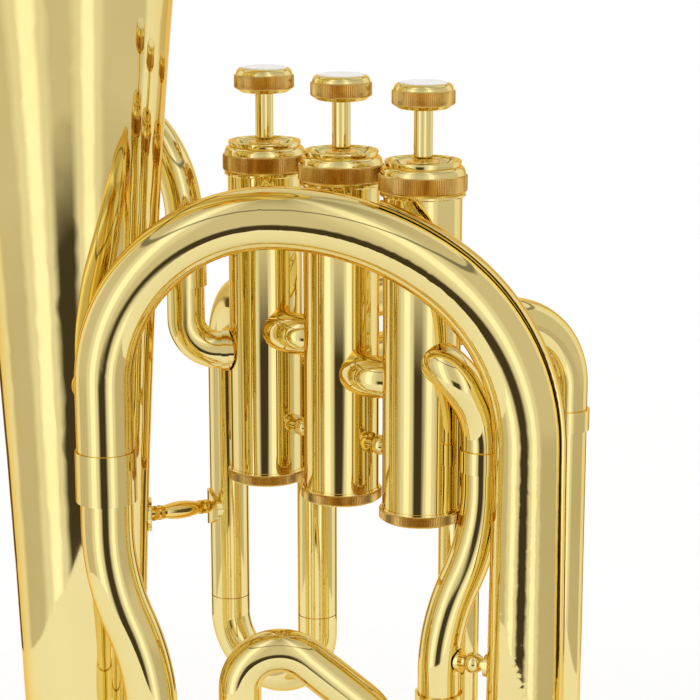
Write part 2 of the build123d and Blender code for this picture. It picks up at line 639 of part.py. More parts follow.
SPRING_WIRE_R, SPRING_R, SPRING_PITCH, SPRING_SEAT_GAP = 0.45, 7.5, 4.4, 0.05
CAP_FLOOR = 1.8


def passage_ends(number, first_port, second_port, lift):
    """Middle of a piston passage and its two directions, with the piston up."""
    a, b = PORTS[number][first_port], PORTS[number][second_port]
    middle = upright(casing_axis(number), (a[1] + b[1]) / 2 + lift).origin
    ways = []
    for azimuth, z in (a, b):
        target = at(*polar(VALVES[number], azimuth, PISTON_R), z + lift)
        ways.append(Plane(origin=middle, z_dir=target - middle))
    return ways


def make_valve(number):
    axis = casing_axis(number)
    with BuildPart() as casing:
        ring(upright(axis, CASING_BOTTOM_Z), CASING_R, CASING_BORE_R, CASING_TOP_Z - CASING_BOTTOM_Z)
        for azimuth, z in PORTS[number].values():
            port = Plane(origin=upright(axis, z).origin, z_dir=toward(azimuth))
            disc(port, PASSAGE_R, CASING_R + 2, Mode.SUBTRACT)
        slot_top = upright(axis, KEY_TOP_Z + KEY_END_PLAY).origin
        with BuildSketch(Plane(origin=slot_top, x_dir=toward(KEY_AZ), z_dir=(0, 0, -1))) as slot:
            with Locations(((KEY_REACH + KEY_FIT) / 2, 0)):
                Rectangle(KEY_REACH + KEY_FIT, KEY_WIDTH + 2 * KEY_FIT)
        extrude(slot.sketch, amount=KEY_LENGTH + STROKE + 3 * KEY_END_PLAY, mode=Mode.SUBTRACT)
    save(casing, f"valve_casing_{number}")

    with BuildPart() as piston:
        length = PISTON_TOP_Z - PISTON_BOTTOM_Z
        disc(upright(axis, PISTON_BOTTOM_Z), PISTON_R, length)
        disc(upright(axis, PISTON_BOTTOM_Z + PLATE), PISTON_R - SHELL, length - 2 * PLATE, Mode.SUBTRACT)
        ways = passage_ends(number, "in", "out", 0)
        ways += passage_ends(number, "in", "slide_in", STROKE)
        ways += passage_ends(number, "slide_out", "out", STROKE)
        for way in ways:
            disc(way, PASSAGE_R + PASSAGE_WALL, PISTON_R + 2)
        ring(upright(axis, PISTON_BOTTOM_Z), 2 * PISTON_R, PISTON_R, length, Mode.SUBTRACT)
        for way in ways:
            disc(way, PASSAGE_R, 2 * PISTON_R, Mode.SUBTRACT)
        disc(upright(axis, PISTON_BOTTOM_Z), VENT_R, PLATE, Mode.SUBTRACT)
        root = PISTON_R - SHELL / 2
        block = Plane(origin=upright(axis, KEY_TOP_Z).origin, x_dir=toward(KEY_AZ), z_dir=(0, 0, -1))
        with BuildSketch(block) as key:
            with Locations(((KEY_REACH + root) / 2, 0)):
                Rectangle(KEY_REACH - root, KEY_WIDTH)
        extrude(key.sketch, amount=KEY_LENGTH)
    save(piston, f"piston_{number}")

    with BuildPart() as stem:
        disc(upright(axis, PISTON_TOP_Z), STEM_R, BUTTON_Z + STEM_IN_BUTTON - PISTON_TOP_Z)
    save(stem, f"valve_stem_{number}")

    with BuildPart() as felts:
        ring(upright(axis, PISTON_TOP_Z), LOWER_FELT_R, FELT_BORE_R, LOWER_FELT)
        ring(upright(axis, BUTTON_Z - UPPER_FELT), UPPER_FELT_R, FELT_BORE_R, UPPER_FELT)
    save(felts, f"valve_felts_{number}")

    with BuildPart() as button:
        disc(upright(axis, BUTTON_Z), BUTTON_R, BUTTON_TOP_Z - BUTTON_Z)
        chamfer(button.edges().filter_by(GeomType.CIRCLE), BUTTON_EDGE)
        disc(upright(axis, BUTTON_TOP_Z - PEARL_SINK), PEARL_R + PUSH_FIT, 2, Mode.SUBTRACT)
        disc(upright(axis, BUTTON_Z), STEM_R + PUSH_FIT, STEM_IN_BUTTON + 0.1, Mode.SUBTRACT)
    save(button, f"button_{number}")

    with BuildPart() as pearl:
        disc(upright(axis, BUTTON_TOP_Z - PEARL_SINK + PUSH_FIT), PEARL_R, PEARL_HEIGHT)
        fillet(pearl.edges().group_by(Axis.Z)[-1], PEARL_ROUND)
    save(pearl, f"finger_pearl_{number}")

    seat_z = BOTTOM_CAP_Z + CAP_FLOOR + SPRING_WIRE_R + SPRING_SEAT_GAP
    rise = PISTON_BOTTOM_Z - SPRING_WIRE_R - SPRING_SEAT_GAP - seat_z
    with BuildLine() as coil_line:
        Helix(SPRING_PITCH, rise, SPRING_R, center=(axis.X, axis.Y, seat_z))
    coil = coil_line.wire()
    with BuildPart() as spring:
        with BuildSketch(Plane(origin=coil @ 0, z_dir=coil % 0)) as wire_section:
            Circle(SPRING_WIRE_R)
        sweep(wire_section.sketch, path=coil, is_frenet=True)
    save(spring, f"valve_spring_{number}")


for valve in VALVES:
    make_valve(valve)


# Valve caps ---------------------------------------------------------------------------------------
def top_cap_outline():
    low, high = CAP_KNURL_Z
    skirt, flute = CASING_R + 0.05, (CAP_BOSS_R + 1.2, high + 0.8)
    rim_inside = (TOP_CAP_R - 3.0, CAP_RIM_Z - 1.2)
    Polyline(
        flute,
        (CAP_BOSS_R, high + 1.2),
        (CAP_BOSS_R, CAP_BOSS_Z),
        (STEM_R + 0.1, CAP_BOSS_Z),
        (STEM_R + 0.1, CASING_TOP_Z),
        (skirt, CASING_TOP_Z),
        (skirt, low - 1.4),
        (TOP_CAP_R - 0.7, low - 1.4),
        (TOP_CAP_R, low),
        (TOP_CAP_R, high),
        (TOP_CAP_R - 0.9, high + 0.7),
        (TOP_CAP_R - 1.3, CAP_RIM_Z),
        (TOP_CAP_R - 2.4, CAP_RIM_Z),
        rim_inside,
    )
    ThreePointArc(rim_inside, (TOP_CAP_R - 4.8, high + 1.4), flute)


CAP_VENT_R, CAP_SPIGOT = 2.0, 4.0


def bottom_cap_outline():
    spigot = CASING_BORE_R - 0.05
    Polyline(
        (CAP_VENT_R, BOTTOM_CAP_Z),
        (BOTTOM_CAP_R - 0.9, BOTTOM_CAP_Z),
        (BOTTOM_CAP_R, BOTTOM_CAP_Z + 0.8),
        (BOTTOM_CAP_R, CASING_BOTTOM_Z - 0.6),
        (BOTTOM_CAP_R - 0.6, CASING_BOTTOM_Z),
        (spigot, CASING_BOTTOM_Z),
        (spigot, CASING_BOTTOM_Z + CAP_SPIGOT),
        (spigot - 1.1, CASING_BOTTOM_Z + CAP_SPIGOT),
        (spigot - 1.1, BOTTOM_CAP_Z + CAP_FLOOR),
        (CAP_VENT_R, BOTTOM_CAP_Z + CAP_FLOOR),
        close=True,
    )


for cap_name, outline in (("top_caps", top_cap_outline), ("bottom_caps", bottom_cap_outline)):
    with BuildPart() as caps:
        for valve in VALVES:
            cap_axis = casing_axis(valve)
            with BuildSketch(Plane(origin=cap_axis, x_dir=(1, 0, 0), z_dir=(0, -1, 0))) as cap_profile:
                with BuildLine():
                    outline()
                make_face()
            revolve(cap_profile.sketch, axis=Axis(cap_axis, (0, 0, 1)))
    save(caps, cap_name)


# Braces -------------------------------------------------------------------------------------------
FOOT_THICKNESS = 1.1


def brace_shape(start, end, sizes, feet):
    """Rod with a ball in the middle of its gap and a foot at each end, uncut.

    sizes are the rod, ball and foot radii; feet are how far each tube's skin is from start and end.
    """
    rod_r, ball_r, foot_r = sizes
    way = end - start
    out = Plane(origin=start, z_dir=way)
    disc(out, rod_r, way.length)
    disc(out, foot_r, feet[0] + FOOT_THICKNESS)
    disc(Plane(origin=end, z_dir=way * -1), foot_r, feet[1] + FOOT_THICKNESS)
    with Locations(out.offset((feet[0] + way.length - feet[1]) / 2)):
        Sphere(ball_r)


CASING_BRACE_Z = 221.0
with BuildPart() as casing_braces:
    for first_valve in (1, 2):
        ends = [upright(casing_axis(n), CASING_BRACE_Z).origin for n in (first_valve, first_valve + 1)]
        brace_shape(*ends, (1.8, 3.3, 3.4), (CASING_R, CASING_R))
    for cut in casing_cuts(1, 2, 3):
        cut_post(*cut)
save(casing_braces, "casing_braces")

RIGHT_BRACE_Z = 156.0
RIGHT_LEG_AT_BRACE_R = arch_radius(ARCH_LENGTH - (RIGHT_BRACE_Z - 6 - ARCH_END_Z))
with BuildPart() as right_leg_brace:
    ends = [upright(centre, RIGHT_BRACE_Z).origin for centre in (MAIN_LEG_A, RIGHT_AXIS)]
    brace_shape(*ends, (1.9, 3.4, 3.8), (MAIN_R, RIGHT_LEG_AT_BRACE_R))
    cut_post(MAIN_LEG_A, MAIN_R + 0.7, RIGHT_BRACE_Z - 15, RIGHT_BRACE_Z + 15)
    cut_post(RIGHT_AXIS, RIGHT_LEG_AT_BRACE_R, RIGHT_BRACE_Z - 15, RIGHT_BRACE_Z + 15)
save(right_leg_brace, "right_leg_brace")

LEFT_BRACE_Z = 247.0
LEFT_LEG_AT_BRACE_R = arch_radius(LEFT_BRACE_Z - ARCH_FOOT_Z + 8)
with BuildPart() as left_leg_brace:
    bell_end, leg_end = upright(BELL_AXIS, LEFT_BRACE_Z).origin, at(LEFT_U, RIGHT_V, LEFT_BRACE_Z)
    brace_shape(bell_end, leg_end, (2.6, 2.6, 5.0), (bell_radius(LEFT_BRACE_Z), LEFT_LEG_AT_BRACE_R))
    disc(Plane(origin=bell_end, z_dir=leg_end - bell_end), 7.0, bell_radius(LEFT_BRACE_Z) + 0.6)
    cut_post(at(LEFT_U, RIGHT_V), LEFT_LEG_AT_BRACE_R, LEFT_BRACE_Z - 15, LEFT_BRACE_Z + 15)
    cut_bell()
save(left_leg_brace, "left_leg_brace")

LEADPIPE_BRACE_Z = 282.5
with BuildPart() as leadpipe_brace:
    bell_end, pipe_end = upright(BELL_AXIS, LEADPIPE_BRACE_Z).origin, at(*LEADPIPE, LEADPIPE_BRACE_Z)
    brace_shape(bell_end, pipe_end, (1.8, 3.2, 4.2), (bell_radius(LEADPIPE_BRACE_Z), LEADPIPE_R))
    cut_post(at(*LEADPIPE), LEADPIPE_R + SOLDER_GAP, LEADPIPE_BRACE_Z - 10, LEADPIPE_BRACE_Z + 10)
    cut_bell()
save(leadpipe_brace, "leadpipe_brace")

# Turned brace from the bell's right side to the left side of the first slide
SPINDLE_BELL_Z, SPINDLE_SLIDE_Z = 196.0, 179.5
SPINDLE_BELL_AZ, SPINDLE_SLIDE_AZ = 10.0, 190.0
SPINDLE_ROD_R, SPINDLE_BELLY_R, SPINDLE_BEAD_R, SPINDLE_BEAD = 1.6, 3.1, 2.5, 1.6
BELL_FOOT_R, SLIDE_FOOT_R = 5.6, 6.4
BELL_TURNED = (
    BELL_AXIS.X * cos(radians(TURN)) - VALVE_2_U,
    -BELL_AXIS.X * sin(radians(TURN)) - VALVE_2_V,
)
spindle_start = at(*polar(BELL_TURNED, SPINDLE_BELL_AZ, bell_radius(SPINDLE_BELL_Z) - 1), SPINDLE_BELL_Z)
spindle_end = at(*polar(SLIDE_1_LEGS[0], SPINDLE_SLIDE_AZ, SLIDE_OUTER_R - 1), SPINDLE_SLIDE_Z)
spindle_way = spindle_end - spindle_start


def curved_foot(centre, z, azimuth, skin_r, foot_r):
    """Thin round foot that wraps a tube. It comes before the rod, which its trimming would cut."""
    disc(Plane(origin=upright(centre, z).origin, z_dir=toward(azimuth)), foot_r, skin_r + foot_r)
    ring(upright(centre, z - foot_r), skin_r + 4 * foot_r, skin_r + FOOT_THICKNESS, 2 * foot_r, Mode.SUBTRACT)


with BuildPart() as slide_1_brace:
    curved_foot(BELL_AXIS, SPINDLE_BELL_Z, SPINDLE_BELL_AZ, bell_radius(SPINDLE_BELL_Z), BELL_FOOT_R)
    curved_foot(T1, SPINDLE_SLIDE_Z, SPINDLE_SLIDE_AZ, SLIDE_OUTER_R, SLIDE_FOOT_R)
    spindle_plane = Plane(origin=spindle_start, z_dir=spindle_way)
    lathe_plane = Plane(origin=spindle_start, x_dir=spindle_plane.x_dir, z_dir=-spindle_plane.y_dir)
    with BuildSketch(lathe_plane) as outline:
        with BuildLine():
            length = spindle_way.length
            belly_start, belly_end = (SPINDLE_ROD_R, length / 5), (SPINDLE_ROD_R, 4 * length / 5)
            Polyline((0, 0), (SPINDLE_ROD_R, 0), belly_start)
            ThreePointArc(belly_start, (SPINDLE_BELLY_R, length / 2), belly_end)
            Polyline(belly_end, (SPINDLE_ROD_R, length), (0, length), (0, 0))
        make_face()
    revolve(outline.sketch, axis=Axis(spindle_start, spindle_way))
    for share in (0.12, 0.2, 0.8, 0.88):
        disc(spindle_plane.offset(share * length - SPINDLE_BEAD / 2), SPINDLE_BEAD_R, SPINDLE_BEAD)
    cut_post(T1, SLIDE_OUTER_R + SOLDER_GAP, SPINDLE_SLIDE_Z - 20, SPINDLE_SLIDE_Z + 20)
    cut_bell()
save(slide_1_brace, "slide_1_brace")

# Water key on the main tuning slide ---------------------------------------------------------------
KEY_CENTRE = (MAIN_LEG_A + MAIN_LEG_B) * 0.5
KEY_SPAN = Vector(MAIN_LEG_B.X - MAIN_LEG_A.X, MAIN_LEG_B.Y - MAIN_LEG_A.Y, 0)
KEY_SIDE = KEY_SPAN.cross(Vector(0, 0, 1)).normalized()
KEY_PLANE = Plane(origin=(KEY_CENTRE.X, KEY_CENTRE.Y, 0), x_dir=KEY_SPAN, z_dir=KEY_SIDE)
BOW_LOW_Z = MAIN_BOW_Z - KEY_SPAN.length / 2 - MAIN_SLEEVE_R
NIPPLE_R, NIPPLE_BORE_R, NIPPLE_Z = 3.2, 1.8, BOW_LOW_Z - 3.0
PIVOT_OUT, TAB_OUT = 12.0, 25.0
LEVER_TOP_Z, LEVER_THICK, LEVER_WIDTH = NIPPLE_Z - 1.7, 1.8, 4.0
CORK_CUP_R, CORK_R, TAB_R = 3.9, 3.0, 4.0
PIVOT_Z = LEVER_TOP_Z - LEVER_THICK / 2
PIN_R, EAR_WALL, EAR_GAP = 0.8, 1.0, 0.6
SADDLE_WIDTH = LEVER_WIDTH + EAR_GAP + 2 * EAR_WALL


def key_block(low, high, out_from, out_to, width, offset=0.0, mode=Mode.ADD):
    """Block in the water key's frame: out along the slide's span, up, and across."""
    with BuildSketch(KEY_PLANE.offset(offset - width / 2)) as face:
        with BuildLine():
            Polyline((out_from, low), (out_to, low), (out_to, high), (out_from, high), close=True)
        make_face()
    extrude(face.sketch, amount=width, mode=mode)


key_foot = Vector(KEY_CENTRE.X, KEY_CENTRE.Y, 0)
with BuildPart() as water_key_saddle:
    key_block(PIVOT_Z - 2, BOW_LOW_Z + 8, PIVOT_OUT - 2.4, PIVOT_OUT + 2.4, SADDLE_WIDTH)
    lever_room = (PIVOT_Z - 3, LEVER_TOP_Z + 2.6, PIVOT_OUT - 4, PIVOT_OUT + 4)
    key_block(*lever_room, LEVER_WIDTH + EAR_GAP, mode=Mode.SUBTRACT)
    hole_start = KEY_PLANE.from_local_coords((PIVOT_OUT, PIVOT_Z, -SADDLE_WIDTH))
    disc(Plane(origin=hole_start, z_dir=KEY_SIDE), PIN_R, 2 * SADDLE_WIDTH, Mode.SUBTRACT)
    disc(upright(key_foot, NIPPLE_Z), NIPPLE_R, 6)
    with BuildSketch(Plane(origin=main_bow_route @ 0, z_dir=main_bow_route % 0)) as bow_section:
        Circle(MAIN_SLEEVE_R + SOLDER_GAP)
    sweep(bow_section.sketch, path=main_bow_route, mode=Mode.SUBTRACT)
    disc(upright(key_foot, NIPPLE_Z - 1), NIPPLE_BORE_R, 10, Mode.SUBTRACT)
save(water_key_saddle, "water_key_saddle")

with BuildPart() as water_key_lever:
    key_block(LEVER_TOP_Z - LEVER_THICK, LEVER_TOP_Z, -2.5, TAB_OUT, LEVER_WIDTH)
    disc(upright(key_foot, LEVER_TOP_Z - LEVER_THICK), CORK_CUP_R, LEVER_THICK)
    tab_foot = KEY_PLANE.from_local_coords((TAB_OUT, 0, 0))
    disc(upright(tab_foot, LEVER_TOP_Z - LEVER_THICK), TAB_R, LEVER_THICK)
    pin_start = KEY_PLANE.from_local_coords((PIVOT_OUT, PIVOT_Z, -SADDLE_WIDTH / 2))
    disc(Plane(origin=pin_start, z_dir=KEY_SIDE), PIN_R - 0.05, SADDLE_WIDTH)
save(water_key_lever, "water_key_lever")

with BuildPart() as water_key_cork:
    disc(upright(key_foot, LEVER_TOP_Z), CORK_R, NIPPLE_Z - LEVER_TOP_Z - 0.05)
save(water_key_cork, "water_key_cork")
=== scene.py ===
"""Studio view of the baritone horn, in metres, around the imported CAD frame."""
import json
from math import cos, pi, radians, sin

import bmesh
import bpy
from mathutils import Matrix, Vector


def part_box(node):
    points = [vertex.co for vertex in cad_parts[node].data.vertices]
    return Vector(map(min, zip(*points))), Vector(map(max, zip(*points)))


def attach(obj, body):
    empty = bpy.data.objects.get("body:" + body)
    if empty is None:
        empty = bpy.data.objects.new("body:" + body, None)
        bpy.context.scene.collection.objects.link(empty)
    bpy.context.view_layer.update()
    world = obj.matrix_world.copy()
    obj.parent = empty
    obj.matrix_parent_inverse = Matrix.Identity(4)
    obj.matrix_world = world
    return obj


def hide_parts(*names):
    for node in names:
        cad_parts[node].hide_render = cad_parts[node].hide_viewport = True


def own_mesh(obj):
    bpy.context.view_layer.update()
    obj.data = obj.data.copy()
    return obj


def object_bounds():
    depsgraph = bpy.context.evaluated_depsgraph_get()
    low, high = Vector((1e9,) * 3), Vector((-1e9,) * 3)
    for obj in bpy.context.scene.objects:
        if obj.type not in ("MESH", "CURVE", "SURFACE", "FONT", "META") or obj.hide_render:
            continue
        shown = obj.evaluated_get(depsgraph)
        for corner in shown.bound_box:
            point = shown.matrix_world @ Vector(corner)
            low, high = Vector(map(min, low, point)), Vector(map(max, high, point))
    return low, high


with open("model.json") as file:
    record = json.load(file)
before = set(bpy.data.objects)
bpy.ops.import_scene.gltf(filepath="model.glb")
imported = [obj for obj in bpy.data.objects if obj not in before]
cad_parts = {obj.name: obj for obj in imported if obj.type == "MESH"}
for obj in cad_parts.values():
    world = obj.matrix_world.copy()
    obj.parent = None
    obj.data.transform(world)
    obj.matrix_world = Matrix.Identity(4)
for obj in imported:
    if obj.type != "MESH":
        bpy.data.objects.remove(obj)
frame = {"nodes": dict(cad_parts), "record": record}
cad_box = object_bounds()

scene = bpy.context.scene

# Camera -------------------------------------------------------------------------------------------
CAMERA_PLACE = (0.1819, -0.6597, 0.4138)
CAMERA_FORWARD = Vector((-0.2358, 0.9459, -0.2233))
CAMERA_AZIMUTH = -76.0
LENS_MM, SENSOR_MM = 113.9, 36.0
NEAREST, FARTHEST = 0.01, 50


def make_camera():
    data = bpy.data.cameras.new("camera")
    data.lens, data.sensor_width = LENS_MM, SENSOR_MM
    data.clip_start, data.clip_end = NEAREST, FARTHEST
    camera = bpy.data.objects.new("camera", data)
    scene.collection.objects.link(camera)
    camera.location = CAMERA_PLACE
    camera.rotation_euler = CAMERA_FORWARD.to_track_quat("-Z", "Y").to_euler()
    scene.camera = camera


make_camera()


# Materials ----------------------------------------------------------------------------------------
def new_material(name):
    material = bpy.data.materials.new(name)
    material.use_nodes = True
    return material, material.node_tree.nodes, material.node_tree.links


def noise(nodes, links, scale, detail, stretch=(1, 1, 1)):
    """Noise in object space; stretch squeezes it along an axis."""
    place = nodes.new("ShaderNodeTexCoord")
    mapping = nodes.new("ShaderNodeMapping")
    mapping.inputs["Scale"].default_value = stretch
    cloud = nodes.new("ShaderNodeTexNoise")
    cloud.inputs["Scale"].default_value = scale
    cloud.inputs["Detail"].default_value = detail
    links.new(place.outputs["Object"], mapping.inputs["Vector"])
    links.new(mapping.outputs["Vector"], cloud.inputs["Vector"])
    return cloud.outputs["Fac"]


def ramp(nodes, links, source, stops):
    """Colour ramp from (position, colour or grey level) stops."""
    node = nodes.new("ShaderNodeValToRGB")
    elements = node.color_ramp.elements
    while len(elements) < len(stops):
        elements.new(0.5)
    for element, (position, color) in zip(elements, stops):
        element.position = position
        element.color = (*color, 1) if isinstance(color, tuple) else (color, color, color, 1)
    links.new(source, node.inputs["Fac"])
    return node.outputs["Color"]


def spread(nodes, links, source, low, high):
    """The source's 0 to 1 stretched over low to high."""
    node = nodes.new("ShaderNodeMapRange")
    node.inputs["To Min"].default_value = low
    node.inputs["To Max"].default_value = high
    links.new(source, node.inputs["Value"])
    return node.outputs["Result"]


def share_between(nodes, links, source, low, high):
    """How far the source is from low to high, as 0 to 1."""
    node = nodes.new("ShaderNodeMapRange")
    node.inputs["From Min"].default_value = low
    node.inputs["From Max"].default_value = high
    links.new(source, node.inputs["Value"])
    return node.outputs["Result"]


def bump(nodes, links, shader, source, strength, distance):
    node = nodes.new("ShaderNodeBump")
    node.inputs["Strength"].default_value = strength
    node.inputs["Distance"].default_value = distance
    links.new(source, node.inputs["Height"])
    links.new(node.outputs["Normal"], shader.inputs["Normal"])


def lacquered_brass():
    """Mirror-polished brass under clear lacquer: faint uneven tint, buffing haze and a slight ripple."""
    material, nodes, links = new_material("lacquered_brass")
    shader = nodes["Principled BSDF"]
    shader.inputs["Metallic"].default_value = 1.0
    shader.inputs["Specular Tint"].default_value = (0.95, 0.62, 0.18, 1)
    shader.inputs["Coat Weight"].default_value = 0.12
    shader.inputs["Coat Roughness"].default_value = 0.02
    shader.inputs["Coat Tint"].default_value = (1.0, 0.93, 0.72, 1)
    cloud = noise(nodes, links, 22.0, 3.0)
    tint = ramp(nodes, links, cloud, [(0.3, (0.84, 0.71, 0.30)), (0.7, (0.88, 0.755, 0.35))])
    links.new(tint, shader.inputs["Base Color"])
    haze = noise(nodes, links, 60.0, 6.0, (1, 1, 0.25))
    links.new(spread(nodes, links, haze, 0.018, 0.055), shader.inputs["Roughness"])
    bump(nodes, links, shader, noise(nodes, links, 55.0, 1.0), 0.02, 0.0003)
    return material


def knurled_brass_painted_shade():
    """The same brass with painted shade between the knurl's ridges: a darker, browner base colour, and
    duller.
    """
    material, nodes, links = new_material("knurled_brass_painted_shade")
    shader = nodes["Principled BSDF"]
    shader.inputs["Metallic"].default_value = 1.0
    shader.inputs["Specular Tint"].default_value = (0.90, 0.60, 0.20, 1)
    shader.inputs["Roughness"].default_value = 0.26
    knurl_shade_cloud = noise(nodes, links, 400.0, 3.0, (1, 1, 0.2))
    # Painted shade: the knurled band's base colour runs darker and browner than the plain brass, for the
    # shade between its ridges
    tint = ramp(nodes, links, knurl_shade_cloud, [(0.35, (0.58, 0.35, 0.08)), (0.65, (0.78, 0.54, 0.18))])
    links.new(tint, shader.inputs["Base Color"])
    return material


def pearl():
    """Mother-of-pearl inlay: soft cloudy bands under a glossy surface."""
    material, nodes, links = new_material("finger_pearl")
    shader = nodes["Principled BSDF"]
    cloud = noise(nodes, links, 180.0, 5.0, (1, 2.5, 1))
    stops = [(0.30, (0.80, 0.79, 0.80)), (0.50, (0.93, 0.91, 0.88)), (0.68, (0.84, 0.88, 0.90))]
    links.new(ramp(nodes, links, cloud, stops), shader.inputs["Base Color"])
    shader.inputs["Roughness"].default_value = 0.12
    shader.inputs["Coat Weight"].default_value = 0.6
    shader.inputs["Coat Roughness"].default_value = 0.03
    return material


def felt():
    material, nodes, links = new_material("felt")
    shader = nodes["Principled BSDF"]
    fibres = noise(nodes, links, 1400.0, 6.0)
    tint = ramp(nodes, links, fibres, [(0.3, (0.05, 0.05, 0.05)), (0.7, (0.16, 0.155, 0.15))])
    links.new(tint, shader.inputs["Base Color"])
    shader.inputs["Roughness"].default_value = 0.95
    shader.inputs["Sheen Weight"].default_value = 0.5
    bump(nodes, links, shader, fibres, 0.6, 0.0003)
    return material


def drawn_metal(name, low, high, roughness, stretch):
    """Bare metal with fine marks along one way."""
    material, nodes, links = new_material(name)
    shader = nodes["Principled BSDF"]
    shader.inputs["Metallic"].default_value = 1.0
    marks = noise(nodes, links, 500.0, 4.0, stretch)
    links.new(ramp(nodes, links, marks, [(0.3, low), (0.7, high)]), shader.inputs["Base Color"])
    links.new(spread(nodes, links, marks, roughness * 0.7, roughness * 1.4), shader.inputs["Roughness"])
    bump(nodes, links, shader, marks, 0.15, 0.0001)
    return material


def cork():
    material, nodes, links = new_material("cork")
    shader = nodes["Principled BSDF"]
    grain = noise(nodes, links, 900.0, 6.0)
    stops = [(0.32, (0.20, 0.11, 0.05)), (0.45, (0.50, 0.34, 0.19)), (0.7, (0.62, 0.45, 0.28))]
    links.new(ramp(nodes, links, grain, stops), shader.inputs["Base Color"])
    shader.inputs["Roughness"].default_value = 0.85
    bump(nodes, links, shader, grain, 0.5, 0.0003)
    return material


finishes = {
    "lacquered_brass": lacquered_brass(),
    "finger_pearl": pearl(),
    "felt": felt(),
    "spring_steel": drawn_metal("spring_steel", (0.48, 0.48, 0.50), (0.62, 0.62, 0.63), 0.28, (1, 1, 1)),
    "nickel_alloy": drawn_metal("nickel_alloy", (0.64, 0.63, 0.60), (0.74, 0.73, 0.70), 0.2, (0.1, 0.1, 4)),
    "cork": cork(),
}
# Material for the knurled faces, whose darker base colour is painted shade
knurl_painted_shade = knurled_brass_painted_shade()
slots = {entry["node"]: entry["material_slot"] for entry in frame["record"]["subparts"]}
bodies = frame["record"]["behaviour"]["bodies"]
body_of = {node: body for body, nodes in bodies.items() for node in nodes}
for node, slot in slots.items():
    mesh = frame["nodes"][node].data
    mesh.materials.clear()
    mesh.materials.append(finishes[slot])
    mesh.shade_smooth()


# Finished pieces that stand for CAD nodes ---------------------------------------------------------
WELD, CREASE = 2e-6, radians(24)


def finished_piece(name, mesh, node, materials):
    """Puts a mesh in place of a CAD node, with its body and slot."""
    piece = bpy.data.objects.new(name, mesh)
    scene.collection.objects.link(piece)
    for material in materials:
        mesh.materials.append(material)
    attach(piece, body_of[node])
    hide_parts(node)
    return piece


def smooth_mesh(shape, name):
    """Mesh from a closed shape, shaded smooth except over its creases."""
    bmesh.ops.recalc_face_normals(shape, faces=shape.faces)
    for face in shape.faces:
        face.smooth = True
    for edge in shape.edges:
        edge.smooth = len(edge.link_faces) == 2 and edge.calc_face_angle() < CREASE
    mesh = bpy.data.meshes.new(name)
    shape.to_mesh(mesh)
    shape.free()
    return mesh


def polish(node):
    """Brass skin of a CAD node: its own shape, welded so that reflections run smoothly over its faces."""
    shape = bmesh.new()
    shape.from_mesh(frame["nodes"][node].data)
    bmesh.ops.remove_doubles(shape, verts=shape.verts, dist=WELD)
    bmesh.ops.dissolve_degenerate(shape, edges=shape.edges, dist=WELD)
    for face in shape.faces:
        face.material_index = 0
    name = f"{node}_polished"
    finished_piece(name, smooth_mesh(shape, name), node, [finishes["lacquered_brass"]])


# Turned pieces: buttons, pearls, caps and felts ---------------------------------------------------
TURNED_STEPS = 576
KNURL_DEPTH = 0.00030
BUTTON_RIDGES, CAP_RIDGES = 96, 144
SMOOTH, RIDGED = 0, 1


def casing_centres(count):
    """Upright axes of the valves, from the casings' boxes."""
    boxes = [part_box(f"valve_casing_{n}") for n in range(1, count + 1)]
    return [((low[0] + high[0]) / 2, (low[1] + high[1]) / 2) for low, high in boxes]


def disc_size(node):
    """(radius, foot, top) of an upright disc."""
    low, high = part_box(node)
    return (high[0] - low[0]) / 2, low[2], high[2]


def turn_profile(shape, centre, profile, ridges):
    """Revolves (radius, height, kind) points; ridged points rise and fall with the knurl."""
    rings = []
    per_ridge = TURNED_STEPS // ridges
    for radius, height, kind in profile:
        ring = []
        for step in range(TURNED_STEPS):
            angle = 2 * pi * step / TURNED_STEPS
            wave = 0.5 - 0.5 * cos(2 * pi * (step % per_ridge) / per_ridge)
            reach = radius - (KNURL_DEPTH * wave if kind else 0)
            place = (centre[0] + reach * cos(angle), centre[1] + reach * sin(angle), height)
            ring.append(shape.verts.new(place))
        rings.append(ring)
    for index, (below, above) in enumerate(zip(rings, rings[1:])):
        ridged = profile[index][2] and profile[index + 1][2]
        join_rings(shape, below, above, 1 if ridged else 0)
    return rings


def join_rings(shape, below, above, material_index=0):
    """Faces from one ring of vertices to the next."""
    count = len(below)
    for step in range(count):
        ahead = (step + 1) % count
        face = shape.faces.new((below[step], below[ahead], above[ahead], above[step]))
        face.material_index = material_index


def turned_solid(shape, centre, profile, ridges):
    rings = turn_profile(shape, centre, profile, ridges)
    join_rings(shape, rings[-1], rings[0])


def finish_turned(shape, name, node):
    finished_piece(name, smooth_mesh(shape, name), node, [finishes[slots[node]], knurl_painted_shade])


def turned_piece(name, node, at, profile, ridges):
    """One node's turned solids, one at each centre."""
    shape = bmesh.new()
    for centre in at:
        turned_solid(shape, centre, profile, ridges)
    finish_turned(shape, name, node)


def quarter_turn(steps):
    return [pi / 2 * step / steps for step in range(steps + 1)]


def rounded_foot(radius, foot, edge, steps=5):
    """Quarter-round lower edge of a disc, going up."""
    return [(radius - edge + edge * sin(a), foot + edge - edge * cos(a)) for a in quarter_turn(steps)]


def rounded_top(radius, top, edge, steps=5):
    """Quarter-round upper edge of a disc, going up."""
    return [(radius - edge + edge * cos(a), top - edge + edge * sin(a)) for a in quarter_turn(steps)]


def smooth_points(points):
    return [(radius, height, SMOOTH) for radius, height in points]


def ridged_points(points):
    return [(radius, height, RIDGED) for radius, height in points]


def shoulder_curve(start_r, start_z, inward, rise, steps=6):
    """Quarter ellipse from a wall in towards the top."""
    return [(start_r - inward * (1 - cos(a)), start_z + rise * sin(a)) for a in quarter_turn(steps)]


